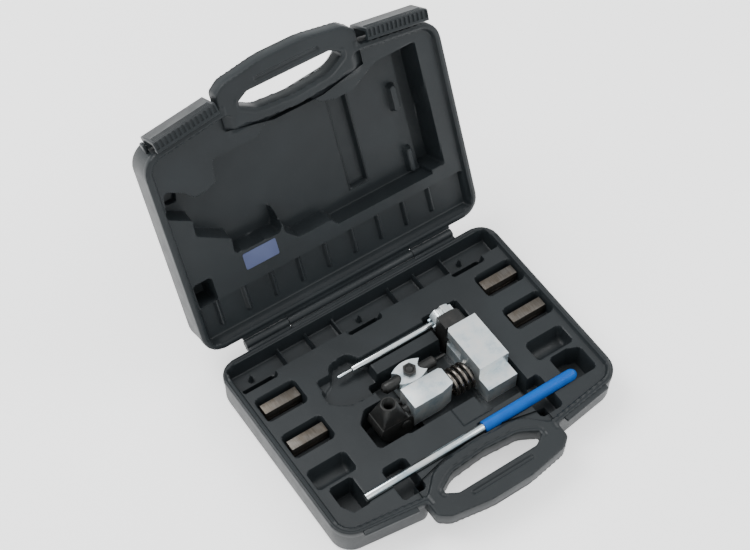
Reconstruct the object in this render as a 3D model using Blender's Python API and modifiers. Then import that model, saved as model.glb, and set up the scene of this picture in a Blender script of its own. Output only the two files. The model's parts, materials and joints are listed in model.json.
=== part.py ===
"""Brake-pipe flaring tool kit: a blow-moulded carrying case with a hinged lid, the flaring
tool, its loose lever and four pairs of pipe dies.

Units are metres, +Z up. The origin is the centre of the case base's underside. X runs along
the hinge, the hinge is on the +Y side and the carrying handle on the -Y side. Everything that
belongs to the lid is laid out as if the lid were shut, under an empty on the hinge axis, and
that empty then turns the lid open.
"""

import math

import bmesh
import bpy
from mathutils import Matrix, Vector

MM = 0.001

# ---------------------------------------------------------------- driving dimensions (mm)
CASE_W = 360.0  # along the hinge
CASE_D = 245.0  # back edge to the side of the front edge
BASE_H = 43.0  # underside to rim
LID_H = 42.7  # lid rim to lid outside
SHELL_GAP = 0.3  # between the two rims when shut
SHOULDER = 0.134  # slope of the front edge from the corners to the handle
RIM_W = 8.0
TRAY_Z = 39.5  # flat top of the moulded tray
LID_TRAY_Z = 47.8  # the same surface in the shut lid
HANDLE_T = 21.0  # thickness of each half of the handle
HANDLE_X = 84.0  # half width of the handle's roots
HINGE_Y, HINGE_Z = 131.0, 43.0
HINGE_R, HINGE_PIN_R = 5.0, 1.5
LID_OPEN = 114.0  # degrees from shut
LATCH_OPEN = 8.0  # degrees from latched
LATCH_X, LATCH_L = 125.5, 75.0
LATCH_U, LATCH_Z = 4.5, 62.0  # latch pivot: out from the lid's wall, and height when shut

GAP = 0.3  # running and resting gap

BLOCK_X = (49.5, 87.5)  # die block
BLOCK_Y = (-60.5, -43.0, 19.0)  # front of the step, back of the step, back of the block
BLOCK_Z = (13.0, 38.0, 57.0)  # underside, top of the step, top
PUNCH_Y, PUNCH_Z = 3.5, 37.5  # working axis, along X
RAM_Y, RAM_Z = -27.6, 32.0  # guide rod, spring and ram axis, along X
RAM_X = (-33.5, 18.0)
RAM_YS = (-41.5, -14.0)
RAM_ZS = (16.0, 52.5)
ROD_R = 6.0
HOLDER_X = -9.5  # punch holder's screw
CAM_X = -45.0  # cam pivot
CAM_E, CAM_R = 13.0, 16.2  # cam throw and radius
CAM_START = -112.5  # direction of the throw with the lever at rest, degrees in XZ
NECK_X, NECK_TOP, NECK_FOOT = -58.4, 65.0, 41.0
CLAMP_X, CLAMP_Z = 63.0, 37.5  # clamp screw axis, along Y
BAR_Y = 43.2  # tommy bar
SPRING_R, SPRING_WIRE, SPRING_TURNS = 14.2, 4.2, 4.0
LEVER_Y, LEVER_Z = -94.6, 40.0
DIE_L, DIE_S = 44.0, 12.3
DIE_LEFT_X, DIE_RIGHT_X = -141.0, 147.0
DIE_ROWS = (54.4, 1.8)
DIE_FLOOR = 11.4
PIPES = (4.75, 6.0, 8.0, 10.0)  # pipe sizes of the four die pairs

# ---------------------------------------------------------------- scene helpers
for old in list(bpy.data.objects):
    bpy.data.objects.remove(old, do_unlink=True)

parts = bpy.data.collections.new("flaring_tool_kit")
cutters = bpy.data.collections.new("cutters")
bpy.context.scene.collection.children.link(parts)
bpy.context.scene.collection.children.link(cutters)
cutters.hide_render = True


def material(name, colour, roughness, metallic=0.0):
    made = bpy.data.materials.new(name)
    made.use_nodes = True
    shader = made.node_tree.nodes["Principled BSDF"]
    shader.inputs["Base Color"].default_value = (*colour, 1.0)
    shader.inputs["Roughness"].default_value = roughness
    shader.inputs["Metallic"].default_value = metallic
    made.diffuse_color = (*colour, 1.0)
    return made


CASE_PLASTIC = material("case_plastic", (0.045, 0.05, 0.055), 0.55)
ZINC = material("zinc_plated_steel", (0.72, 0.75, 0.77), 0.3, 1.0)
BLACK_STEEL = material("black_steel", (0.03, 0.028, 0.028), 0.42, 0.7)
SPRING_STEEL = material("spring_steel", (0.16, 0.14, 0.12), 0.3, 1.0)
DIE_STEEL = material("die_steel", (0.3, 0.28, 0.26), 0.45, 1.0)
PLAIN_STEEL = material("plain_steel", (0.5, 0.5, 0.5), 0.35, 1.0)
BLUE_VINYL = material("blue_vinyl", (0.0, 0.13, 0.42), 0.4)


def place(name, mesh, look=None, parent=None):
    """Puts a mesh, drawn in millimetres, into the scene as a part or, with no look, a cutter."""
    mesh.transform(Matrix.Scale(MM, 4))
    obj = bpy.data.objects.new(name, mesh)
    if look is None:
        cutters.objects.link(obj)
        obj.hide_render = True
        obj.display_type = "WIRE"
    else:
        parts.objects.link(obj)
        mesh.materials.append(look)
        mesh.shade_smooth()
        mesh.set_sharp_from_angle(angle=math.radians(30))
    if parent is not None:
        obj.parent = parent
    return obj


def to_mesh(form, name):
    """The form's own bmesh as a mesh with its faces pointing out."""
    bmesh.ops.recalc_face_normals(form, faces=form.faces)
    mesh = bpy.data.meshes.new(name)
    form.to_mesh(mesh)
    form.free()
    return mesh


def joined(name, *meshes):
    """Several meshes as one, for a cutter of shapes that don't meet."""
    form = bmesh.new()
    for mesh in meshes:
        form.from_mesh(mesh)
        bpy.data.meshes.remove(mesh)
    mesh = bpy.data.meshes.new(name)
    form.to_mesh(mesh)
    form.free()
    return mesh


def box(x, y, z):
    form = bmesh.new()
    bmesh.ops.create_cube(form, size=1.0)
    size = Vector((x[1] - x[0], y[1] - y[0], z[1] - z[0]))
    centre = Vector((x[0] + x[1], y[0] + y[1], z[0] + z[1])) / 2
    bmesh.ops.scale(form, vec=size, verts=form.verts)
    bmesh.ops.translate(form, vec=centre, verts=form.verts)
    return to_mesh(form, "box")


TURN = {
    "x": Matrix.Rotation(math.radians(90), 4, "Y"),
    "y": Matrix.Rotation(math.radians(-90), 4, "X"),
    "z": Matrix.Identity(4),
}


def rod(axis, centre, length, r1, r2=None, sides=16):
    """A cylinder, or a cone from r1 to r2, along an axis, with its middle at centre."""
    form = bmesh.new()
    bmesh.ops.create_cone(
        form, cap_ends=True, segments=sides, radius1=r1, radius2=r1 if r2 is None else r2,
        depth=length, matrix=Matrix.Translation(centre) @ TURN[axis])
    return to_mesh(form, "rod")


def span(axis, start, end, across, r1, r2=None, sides=16):
    """A rod that runs from start to end along an axis, at the two other coordinates."""
    centre = list(across)
    centre.insert("xyz".index(axis), (start + end) / 2)
    return rod(axis, centre, end - start, r1, r2, sides)


def turned(profile, axis, centre, sides=24):
    """A turned solid from (radius, height) pairs running top to bottom, both ends on the axis."""
    mesh = bpy.data.meshes.new("profile")
    points = [(radius * MM, 0.0, height * MM) for radius, height in profile]
    mesh.from_pydata(points, [(i, i + 1) for i in range(len(points) - 1)], [])
    obj = bpy.data.objects.new("profile", mesh)
    cutters.objects.link(obj)
    screw = obj.modifiers.new("screw", "SCREW")
    screw.steps = screw.render_steps = sides
    screw.use_merge_vertices = True
    screw.merge_threshold = 0.00001
    made = evaluated(obj)
    made.transform(Matrix.Translation(centre) @ TURN[axis] @ Matrix.Scale(1 / MM, 4))
    return made


def evaluated(obj):
    """The object's shape after its modifiers, and the object gone."""
    graph = bpy.context.evaluated_depsgraph_get()
    mesh = bpy.data.meshes.new_from_object(obj.evaluated_get(graph))
    bpy.data.objects.remove(obj, do_unlink=True)
    form = bmesh.new()
    form.from_mesh(mesh)
    bmesh.ops.remove_doubles(form, verts=form.verts, dist=0.000002)
    bmesh.ops.dissolve_limit(form, angle_limit=0.001, verts=form.verts, edges=form.edges)
    bpy.data.meshes.remove(mesh)
    return to_mesh(form, "evaluated")


def rounded(corners, step=22.5):
    """Outline points for corners given as (x, y) or (x, y, radius)."""
    points = []
    count = len(corners)
    for i, corner in enumerate(corners):
        here = Vector(corner[:2])
        radius = corner[2] if len(corner) > 2 else 0.0
        before = (Vector(corners[i - 1][:2]) - here).normalized()
        after = (Vector(corners[(i + 1) % count][:2]) - here).normalized()
        angle = before.angle(after)
        if radius == 0 or angle > math.pi - 0.01:
            points.append(here)
            continue
        reach = radius / math.tan(angle / 2)
        middle = here + (before + after).normalized() * radius / math.sin(angle / 2)
        start = here + before * reach - middle
        turn = start.angle_signed(here + after * reach - middle)
        steps = max(1, round(math.degrees(abs(turn)) / step))
        for k in range(steps + 1):
            a = -turn * k / steps
            points.append(middle + Vector((start.x * math.cos(a) - start.y * math.sin(a),
                                           start.x * math.sin(a) + start.y * math.cos(a))))
    return [tuple(point) for point in points]


def slab(points, low, high, axis="z"):
    """A flat outline, extruded along Z, or along Y for an outline of (x, z) points."""
    curve = bpy.data.curves.new("outline", "CURVE")
    curve.dimensions = "2D"
    curve.fill_mode = "BOTH"
    curve.extrude = (high - low) / 2 * MM
    spline = curve.splines.new("POLY")
    spline.points.add(len(points) - 1)
    for point, (x, y) in zip(spline.points, points):
        point.co = (x * MM, y * MM, 0, 1)
    spline.use_cyclic_u = True
    obj = bpy.data.objects.new("outline", curve)
    cutters.objects.link(obj)
    mesh = evaluated(obj)
    mesh.transform(Matrix.Scale(1 / MM, 4))
    if axis == "z":
        mesh.transform(Matrix.Translation((0, 0, (low + high) / 2)))
    else:
        upright = Matrix.Rotation(math.radians(90), 4, "X")
        mesh.transform(Matrix.Translation((0, (low + high) / 2, 0)) @ upright)
    return mesh


def shape(obj, operation, name, mesh):
    """A Boolean on obj by a mesh in obj's own frame."""
    tool = place(name, mesh, parent=obj.parent)
    modifier = obj.modifiers.new(name, "BOOLEAN")
    modifier.operation = operation
    modifier.solver = "EXACT"
    modifier.object = tool
    return tool


def cut(obj, name, *meshes):
    return shape(obj, "DIFFERENCE", name, joined(name, *meshes))


def add(obj, name, *meshes):
    return shape(obj, "UNION", name, joined(name, *meshes))


def soften(mesh, width, keep, segments=2):
    """Rounds the edges for which keep(one end, other end) is true."""
    form = bmesh.new()
    form.from_mesh(mesh)
    edges = [edge for edge in form.edges if keep(edge.verts[0].co, edge.verts[1].co)]
    bmesh.ops.bevel(form, geom=edges, offset=width, segments=segments, profile=0.5,
                    affect="EDGES")
    form.to_mesh(mesh)
    form.free()
    return mesh


def at_height(z):
    return lambda a, b: abs(a.z - z) < 0.01 and abs(b.z - z) < 0.01


def set_origin(obj, where):
    """Puts the object's origin on its joint's axis, with its shape left where it is."""
    place_at = Vector(where) * MM
    obj.data.transform(Matrix.Translation(-place_at))
    obj.location = place_at


def hinge_empty(name, where, parent=None):
    empty = bpy.data.objects.new(name, None)
    empty.empty_display_size = 0.02
    empty.location = Vector(where) * MM
    empty.parent = parent
    parts.objects.link(empty)
    return empty


# ---------------------------------------------------------------- case outlines
half_w, half_d = CASE_W / 2, CASE_D / 2


def shoulder_y(x, inset=0.0):
    return -half_d - SHOULDER * (half_w - abs(x)) + inset


def mirrored(right_side):
    """An outline from its +X half, listed from the back to the front."""
    left = [(-corner[0], *corner[1:]) for corner in right_side if corner[0] > 0.01]
    return [*left, *reversed(right_side)]


BODY = rounded(mirrored([
    (half_w, half_d, 22), (half_w, -half_d, 26), (82, shoulder_y(82), 10),
    (58, -114, 30), (0, -108)]))
HANDLE = rounded(mirrored([
    (30, -100), (HANDLE_X, -112), (HANDLE_X, -153, 8), (72, -162, 14), (26, -169.5, 60)]))
HAND_HOLE = rounded(mirrored([(0, -117.5), (43, -121, 25), (66, -134, 4), (50, -143.5, 8)]))
TRAY = rounded(mirrored([
    (half_w - RIM_W, half_d - RIM_W, 15),
    (half_w - RIM_W, shoulder_y(half_w - RIM_W, RIM_W), 18), (78, shoulder_y(78, RIM_W), 6),
    (56, -108, 25), (0, -103.5)]))


def knuckles(ranges, low, high):
    made = []
    for start, end in ranges:
        made.append(span("x", start, end, (HINGE_Y, HINGE_Z), HINGE_R, sides=16))
    return made, [box((start, end), (half_d - 2, HINGE_Y), (low, high)) for start, end in ranges]


BASE_KNUCKLES = ((-137, -82.3), (82.3, 137))
LID_KNUCKLES = ((-82, 82),)

# ---------------------------------------------------------------- case base
body = slab(BODY, 0, BASE_H)
base = place("case_base", soften(body, 5, at_height(0)), CASE_PLASTIC)
add(base, "base_handle", soften(slab(HANDLE, BASE_H - HANDLE_T, BASE_H - 0.02), 4,
                                at_height(BASE_H - HANDLE_T)))
barrels, webs = knuckles(BASE_KNUCKLES, 35.5, 42.2)
add(base, "base_webs", *webs)
add(base, "base_barrels", *barrels)
add(base, "hinge_ledge", box((-82, 82), (half_d - 2, HINGE_Y - HINGE_R - 0.4), (38.5, 42.9)))


def at_shoulder(mesh, side):
    """Moves a mesh from the latch's frame (x along the wall, -y outwards) to the case's wall."""
    swing = math.atan(SHOULDER) * side
    centre = (side * LATCH_X, shoulder_y(LATCH_X), 0)
    mesh.transform(Matrix.Translation(centre) @ Matrix.Rotation(swing, 4, "Z"))
    return mesh


add(base, "latch_catches", *[
    at_shoulder(box((-31, 31), (-5, 2), (38, 42)), side) for side in (-1, 1)])
cut(base, "base_hand_hole", slab(HAND_HOLE, 10, 60))
cut(base, "base_handle_recess", slab(rounded([
    (-39, -155.5, 3), (39, -155.5, 3), (39, -148.5, 3), (-39, -148.5, 3)], 45), 41.5, 60))
cut(base, "base_tray", slab(TRAY, TRAY_Z, 60))


def pocket(x, y, floor, radius=4.0, top=60.0):
    return slab(rounded([(x[0], y[0], radius), (x[1], y[0], radius),
                         (x[1], y[1], radius), (x[0], y[1], radius)], 45), floor, top)


cut(base, "cam_well", slab(rounded([
    (-87, -54.5, 4), (-22, -54.5), (-22, -8), (-75, -8, 4), (-87, -20, 4)], 45), 2.4, 60))
cut(base, "ram_well", pocket((-52, 47), (-56.8, 21), 12.0))
cut(base, "block_well", pocket((33, 91), (-80, 20.5), 12.7))
cut(base, "strap_well", pocket((43.5, 88), (17, 39), 5.5, 3))
cut(base, "head_well", pocket((42, 87.5), (36.5, 54), 19, 3))
cut(base, "bar_groove", pocket((-98, 60), (36.7, 49.7), 30, 3))
cut(base, "finger_bowl", slab(rounded([
    (-101, 20, 10), (-92, 12, 8), (-82, 6, 12), (-60, 4, 10), (-40, 8, 8), (-38, 40, 14),
    (-52, 63, 10), (-76, 60, 12), (-84, 44, 8), (-101, 36, 8)], 45), 27, 60))
cut(base, "shallow_pad", box((1, 40), (-82, -50), (36.5, 60)))
cut(base, "back_trough", box((-171, 171), (88, 114.3), (24, 60)))
cut(base, "trough_slots", *[
    pocket((x, x + 42), (80.5, 91.5), 9, 3) for x in (-169, -34, 105)])
add(base, "trough_ribs", *[
    box((x - 1.8, x + 1.8), (87, 115), (23, 33)) for x in (-108, -72, -37, 37, 72, 108)])
add(base, "trough_pegs", *[
    span("z", 23, 35, (x, 99), 2.6, 2.0, 8) for x in (-150, -10, 126)])

die_places = [(DIE_LEFT_X, y) for y in DIE_ROWS] + [(DIE_RIGHT_X, y) for y in DIE_ROWS]
cut(base, "die_pockets", *[
    pocket((x - 25, x + 24), (y - 18, y + 12.5), DIE_FLOOR + DIE_S, 5) for x, y in die_places])
cut(base, "die_slots", *[
    box((x - DIE_L / 2 - 0.6, x + DIE_L / 2 + 0.6),
        (y - DIE_S / 2 - 0.6, y + DIE_S / 2 + 0.6), (DIE_FLOOR - GAP, 50)) for x, y in die_places])
cut(base, "spare_pockets", pocket((-167, -120), (-61, -36), 30, 5),
    pocket((116, 163), (-61, -36), 30, 5))
cut(base, "spare_grooves", span("x", -163, -124, (-48, 30), 9, sides=12),
    span("x", 120, 159, (-48, 30), 9, sides=12))
cut(base, "corner_wells",
    slab(rounded([(-158, -88, 3), (-150, -101, 3), (-131, -101, 3), (-131, -66, 4),
                  (-158, -66, 4)], 45), 12, 60),
    slab(rounded([(127, -101, 4), (163, -101, 4), (163, -72, 4), (150, -66, 4),
                  (127, -66, 4)], 45), 12, 60))
cut(base, "finger_wells", pocket((-101, -73), (-119, -77), 22),
    pocket((76, 104), (-119, -73), 22))
cut(base, "lever_groove", span("x", -134, 18, (LEVER_Y, LEVER_Z), 5.6, sides=16))
cut(base, "grip_groove", span("x", 15.5, 142, (LEVER_Y, LEVER_Z), 7.3, sides=16))
cut(base, "base_pin_hole", span("x", -140, 140, (HINGE_Y, HINGE_Z), HINGE_PIN_R + GAP, sides=12))

# ---------------------------------------------------------------- lid, laid out shut
hinge_line = hinge_empty("lid_hinge_line", (0, HINGE_Y, HINGE_Z))
shut = Matrix.Translation((0, -HINGE_Y, -HINGE_Z))


def lid_mesh(mesh):
    mesh.transform(shut)
    return mesh


LID_RIM = BASE_H + SHELL_GAP
LID_TOP = LID_RIM + LID_H
lid = place("case_lid", lid_mesh(soften(slab(BODY, LID_RIM, LID_TOP), 5, at_height(LID_TOP))),
            CASE_PLASTIC, hinge_line)


def lid_add(name, *meshes):
    return add(lid, name, *[lid_mesh(mesh) for mesh in meshes])


def lid_cut(name, *meshes):
    return cut(lid, name, *[lid_mesh(mesh) for mesh in meshes])


lid_add("lid_handle", soften(slab(HANDLE, LID_RIM + 0.02, LID_RIM + HANDLE_T), 4,
                             at_height(LID_RIM + HANDLE_T)))
barrels, webs = knuckles(LID_KNUCKLES, 44.2, 51.0)
lid_add("lid_webs", *webs)
lid_add("lid_barrels", *barrels)
lid_add("lid_flange", *[box((start, end), (half_d - 2, HINGE_Y - HINGE_R - 0.6), (43.6, 51.0))
                        for start, end in BASE_KNUCKLES])
lugs = []
for side in (-1, 1):
    for end in (-1, 1):
        near, far = sorted((end * (LATCH_L / 2 + 0.6), end * (LATCH_L / 2 + 4.6)))
        lugs.append(at_shoulder(box((near, far), (-8.5, 2), (57.5, 66.5)), side))
lid_add("latch_lugs", *lugs)
lid_cut("lid_hand_hole", slab(HAND_HOLE, 30, 80))
lid_cut("lid_handle_recess", slab(rounded([
    (-39, -155.5, 3), (39, -155.5, 3), (39, -148.5, 3), (-39, -148.5, 3)], 45), 30, 45))
lid_cut("lid_tray", slab(TRAY, 30, LID_TRAY_Z))
lid_cut("tool_recess", slab(rounded([
    (-126, -57, 4), (-109, -63, 4), (-106, -88, 5), (-52, -88, 6), (-34, -101, 5),
    (17, -101, 4), (27, -92, 4), (44, -87), (66, -87), (101, -106, 8), (134, -106),
    (134, 52.5), (9, 52.5, 4), (2, 43, 4), (-40, 43, 4), (-52, 30, 4), (-55, 4, 5),
    (-64, -2, 5), (-104, -2, 4), (-107, -24, 4), (-126, -30, 4)], 45), 30, 70))
lid_cut("lid_slot", slab(rounded([(131, -106, 3), (149, -106, 3), (151, 48, 3),
                                  (131, 48, 3)], 45), 30, 79))
lid_cut("lid_strip", box((44, 65), (-86, 33), (60, 76)))
lid_cut("lid_steps", slab(rounded([
    (-110, -58), (-137, -58, 3), (-146, -68, 3), (-166, -79, 4), (-171, -49, 4), (-146, -35, 3),
    (-148, -16, 4), (-112, 5.5, 3), (-113, 25, 4), (-66, 47, 6), (-54, 31, 4), (-54, 2),
    (-80, -20)], 45), 30, 70))
lid_cut("lid_pocket_1", slab(rounded([(-163, -76, 3), (-147, -67, 3), (-150, -51, 3),
                                      (-168, -54, 3)], 45), 30, 76))
lid_cut("lid_pocket_2", pocket((-169, -148), (38, 66), 30, 3, 76))
lid_cut("lid_hinge_panel", box((-170, 170), (67, 113), (30, 55)))
lid_add("lid_ribs", *[
    box((x - 2.5, x + 2.5), (66, 101), (50.5, 56)) for x in
    [-149 + 34.4 * i for i in range(9)]])
lid_add("lid_pegs", slab(rounded([(114, -63, 4), (124, -63, 4), (124, -30, 4), (114, -30, 4)], 45),
                         62, 71),
        slab(rounded([(116, 17, 4), (125, 17, 4), (125, 49, 4), (116, 49, 4)], 45), 62, 71))
lid_cut("lid_pin_hole", span("x", -90, 90, (HINGE_Y, HINGE_Z), HINGE_PIN_R + GAP, sides=12))
pin_holes = [at_shoulder(span("x", -46, 46, (-LATCH_U, LATCH_Z), 1.8, sides=10), side)
             for side in (-1, 1)]
lid_cut("latch_pin_holes", *pin_holes)

hinge_pin = place("hinge_pin", span("x", -136.5, 136.5, (HINGE_Y, HINGE_Z), HINGE_PIN_R,
                                    sides=12), PLAIN_STEEL)

# ---------------------------------------------------------------- latches, on the lid
LATCH_SECTION = [
    (0.9, 58.3), (9.0, 58.3), (11.6, 55.6), (11.6, 33.5), (5.0, 33.5), (5.0, 37.0),
    (2.3, 36.2), (2.3, 29.5), (13.2, 29.5), (15.0, 31.3), (15.0, 63.6), (12.2, 66.4),
    (3.0, 66.4), (0.9, 64.6)]
for side, name in ((-1, "left"), (1, "right")):
    swing = math.atan(SHOULDER) * side
    pivot = Vector((side * LATCH_X, shoulder_y(LATCH_X), LATCH_Z)) + \
        Matrix.Rotation(swing, 3, "Z") @ Vector((0, -LATCH_U, 0))
    line = hinge_empty("latch_line_" + name, pivot - Vector((0, HINGE_Y, HINGE_Z)), hinge_line)
    line.rotation_euler = (math.radians(-LATCH_OPEN), 0, swing)
    # The section's (out, up) pairs are drawn in XZ, then turned so that out is -Y.
    section = slab(LATCH_SECTION, -LATCH_L / 2, LATCH_L / 2, axis="y")
    section.transform(Matrix.Translation((0, LATCH_U, -LATCH_Z))
                      @ Matrix.Rotation(math.radians(-90), 4, "Z"))
    latch = place("latch_" + name, section, CASE_PLASTIC, line)
    cut(latch, "latch_bore_" + name, rod("x", (0, 0, 0), 2 * LATCH_L, 1.8, sides=10))
    cut(latch, "latch_ribs_" + name, *[
        box((x, x + 3.4), (-8.9, -2.6), (-33, -20)) for x in
        [-LATCH_L / 2 + 1.4 + 5.3 * i for i in range(14)]])
    place("latch_pin_" + name, rod("x", (0, 0, 0), LATCH_L + 8.6, 1.5, sides=10),
          PLAIN_STEEL, line)

# ---------------------------------------------------------------- tool: die block and clamp
block = place("die_block", box(BLOCK_X, (BLOCK_Y[1] - 5, BLOCK_Y[2]), (BLOCK_Z[0], BLOCK_Z[2])),
              ZINC)
add(block, "block_step", box(BLOCK_X, (BLOCK_Y[0], BLOCK_Y[1] - 4), (BLOCK_Z[0], BLOCK_Z[1])))
cut(block, "block_face", box((40, 100), (-50, BLOCK_Y[1]), (BLOCK_Z[1], 70)))
cut(block, "die_way", box((40, 100), (PUNCH_Y - DIE_S - 0.2, 30),
                          (PUNCH_Z - DIE_S / 2 - 0.2, PUNCH_Z + DIE_S / 2 + 0.2)))
cut(block, "rod_socket", span("x", 40, 70, (RAM_Y, RAM_Z), ROD_R + GAP))
SCREW_XS, SCREW_Z = (57.5, 75.5), 19.0
cut(block, "strap_threads", *[span("y", 4, 25, (x, SCREW_Z), 3.3, sides=12) for x in SCREW_XS])
cut(block, "grub_hole", span("z", 5, 30, (61, RAM_Y), 3.3, sides=12))

STRAP_Y = (BLOCK_Y[2] + GAP, BLOCK_Y[2] + GAP + 18)
strap = place("clamp_strap", slab(rounded([
    (BLOCK_X[0], 6), (82, 6, 2), (82, 57, 17), (BLOCK_X[0], 57)], 18), *STRAP_Y, axis="y"),
    BLACK_STEEL)
cut(strap, "strap_bore", span("y", 10, 50, (CLAMP_X, CLAMP_Z), 6.3))
cut(strap, "strap_holes", *[span("y", 10, 50, (x, SCREW_Z), 3.3, sides=12) for x in SCREW_XS])
cut(strap, "strap_seats", *[
    span("y", STRAP_Y[1] - 7, 50, (x, SCREW_Z), 5.6, sides=12) for x in SCREW_XS])
for number, x in enumerate(SCREW_XS, 1):
    head = turned([(0, 24), (5, 24), (5, 18.3), (3, 18.3), (3, 0), (0, 0)], "y",
                  (x, STRAP_Y[1] - 25, SCREW_Z), 12)
    screw = place(f"strap_screw_{number}", head, BLACK_STEEL)
    cut(screw, f"strap_screw_socket_{number}",
        span("y", STRAP_Y[1] - 4, 50, (x, SCREW_Z), 2.6, sides=6))
place("rod_grub_screw", span("z", BLOCK_Z[0] + 1, RAM_Z - ROD_R - GAP, (61, RAM_Y), 3.0,
                             sides=12), BLACK_STEEL)

HEAD_Y = (STRAP_Y[1] + 0.5, STRAP_Y[1] + 12.1)
lobes = []
for i in range(48):
    a = math.radians(i * 7.5)
    r = 14.6 + 1.5 * math.cos(6 * (a - math.radians(75)))
    lobes.append((CLAMP_X + r * math.cos(a), CLAMP_Z + r * math.sin(a)))
clamp = place("clamp_screw", slab(lobes, *HEAD_Y, axis="y"), ZINC)
add(clamp, "clamp_shank", span("y", 16, HEAD_Y[0] + 2, (CLAMP_X, CLAMP_Z), 6.0))
add(clamp, "clamp_nose", span("y", 13.5, 18, (CLAMP_X, CLAMP_Z), 2.8))
cut(clamp, "bar_bore", span("x", 30, 100, (BAR_Y, CLAMP_Z), 4.6))
set_origin(clamp, (CLAMP_X, BAR_Y, CLAMP_Z))
pad = place("clamp_pad", span("y", 12.2, 15.6, (CLAMP_X, CLAMP_Z), 5.6), BLACK_STEEL)
cut(pad, "pad_seat", span("y", 13.2, 20, (CLAMP_X, CLAMP_Z), 3.1))
bar = place("tommy_bar", turned([(0, 137), (4.3, 137), (4.3, 0.6), (3.9, 0), (2.1, -1),
                                 (2.1, -18), (0, -18.4)], "x", (-57, BAR_Y, CLAMP_Z), 16), ZINC)
set_origin(bar, (CLAMP_X, BAR_Y, CLAMP_Z))

# ---------------------------------------------------------------- tool: rod, ram and cam
guide = place("guide_rod", span("x", CAM_X + 5, 69.5, (RAM_Y, RAM_Z), ROD_R), BLACK_STEEL)
add(guide, "rod_eye", span("y", RAM_Y - 6, RAM_Y + 6, (CAM_X, RAM_Z), 8.5, sides=24))
cut(guide, "eye_bore", span("y", RAM_Y - 9, RAM_Y + 9, (CAM_X, RAM_Z), 4.3))

ram = place("ram_block", slab([
    (RAM_X[0], RAM_YS[0]), (RAM_X[1] - 16, RAM_YS[0]), (RAM_X[1] - 1, RAM_YS[0] + 3.3),
    (RAM_X[1], RAM_YS[0] + 4.5), (RAM_X[1], RAM_YS[1] - 3), (RAM_X[1] - 3, RAM_YS[1]),
    (RAM_X[0], RAM_YS[1])], *RAM_ZS), ZINC)
add(ram, "ram_arm", box((-27, 8), (RAM_YS[1] - 2, 15), (RAM_ZS[0] + 0.5, 29.7)))
cut(ram, "ram_bore", span("x", -50, 30, (RAM_Y, RAM_Z), ROD_R + GAP))
cut(ram, "holder_thread", span("z", 10, 35, (HOLDER_X, PUNCH_Y), 4.35, sides=24))
set_origin(ram, (RAM_X[0], RAM_Y, RAM_Z))

WIRE_START, WIRE_END = RAM_X[1] + GAP + SPRING_WIRE / 2, BLOCK_X[0] - GAP - SPRING_WIRE / 2
coil = bpy.data.curves.new("coil", "CURVE")
coil.dimensions = "3D"
coil.bevel_depth = SPRING_WIRE / 2 * MM
coil.bevel_resolution = 2
coil.use_fill_caps = True
wire = coil.splines.new("POLY")
COIL_STEPS = round(SPRING_TURNS * 14)
wire.points.add(COIL_STEPS)
for i, point in enumerate(wire.points):
    t = i / COIL_STEPS
    a = 2 * math.pi * SPRING_TURNS * t
    point.co = ((WIRE_START + (WIRE_END - WIRE_START) * t) * MM,
                (RAM_Y + SPRING_R * math.cos(a)) * MM, (RAM_Z + SPRING_R * math.sin(a)) * MM, 1)
spring = bpy.data.objects.new("return_spring", coil)
parts.objects.link(spring)
coil.materials.append(SPRING_STEEL)

# ---------------------------------------------------------------- tool: punch holder
side_arc = [(18 - 36 * i / 8, 8 + 5.5 * (1 - (1 - i / 4) ** 2)) for i in range(9)]
scallop = [(18 - 6.5 * (1 - (1 - i / 3) ** 2), -8 + 16 * i / 6) for i in range(1, 6)]
outline = side_arc + [(-x, -y) for x, y in scallop]
outline += [(-x, -y) for x, y in side_arc] + scallop
holder = place("punch_holder", slab([(HOLDER_X + x, PUNCH_Y + y) for x, y in outline], 30, 45),
               ZINC)
cut(holder, "holder_bore", span("z", 20, 50, (HOLDER_X, PUNCH_Y), 4.35, sides=24))
cut(holder, "punch_seats", span("x", HOLDER_X + 6, HOLDER_X + 30, (PUNCH_Y, PUNCH_Z), 4.8),
    span("x", HOLDER_X - 30, HOLDER_X - 6, (PUNCH_Y, PUNCH_Z), 4.8))
cut(holder, "collar_seats", span("x", HOLDER_X + 12, HOLDER_X + 30, (PUNCH_Y, PUNCH_Z), 6.7, sides=20),
    span("x", HOLDER_X - 30, HOLDER_X - 12, (PUNCH_Y, PUNCH_Z), 6.7, sides=20))
set_origin(holder, (HOLDER_X, PUNCH_Y, PUNCH_Z))
knob = place("holder_screw", span("z", 45.3, 50, (HOLDER_X, PUNCH_Y), 8.0, sides=6), BLACK_STEEL)
add(knob, "holder_screw_shank", span("z", 18, 46, (HOLDER_X, PUNCH_Y), 4.0))
cut(knob, "holder_socket", span("z", 46.6, 60, (HOLDER_X, PUNCH_Y), 3.4, sides=6))
place("punch_right", turned([(0, 47.5), (1.2, 47.5), (1.8, 46.5), (1.8, 34.5), (4.6, 33.0),
                             (6.4, 31.5), (6.4, 12.3), (4.5, 12.3), (4.5, 6.4), (0, 6.4)], "x",
                            (HOLDER_X, PUNCH_Y, PUNCH_Z), 20), BLACK_STEEL)
left = turned([(0, 35), (3.4, 35), (6.4, 31.5), (6.4, 12.3), (4.5, 12.3), (4.5, 6.4),
               (0, 6.4)], "x", (0, 0, 0), 20)
left.transform(Matrix.Translation((HOLDER_X, PUNCH_Y, PUNCH_Z)) @ Matrix.Rotation(math.pi, 4, "Z"))
punch = place("punch_left", left, BLACK_STEEL)
cut(punch, "punch_left_dimple", span("x", HOLDER_X - 45, HOLDER_X - 29, (PUNCH_Y, PUNCH_Z), 2.0,
                                     sides=12))

# ---------------------------------------------------------------- tool: cam lever


def arc(x, z, r, start, end, steps):
    return [(x + r * math.cos(math.radians(start + (end - start) * i / steps)),
             z + r * math.sin(math.radians(start + (end - start) * i / steps)))
            for i in range(steps + 1)]


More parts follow.
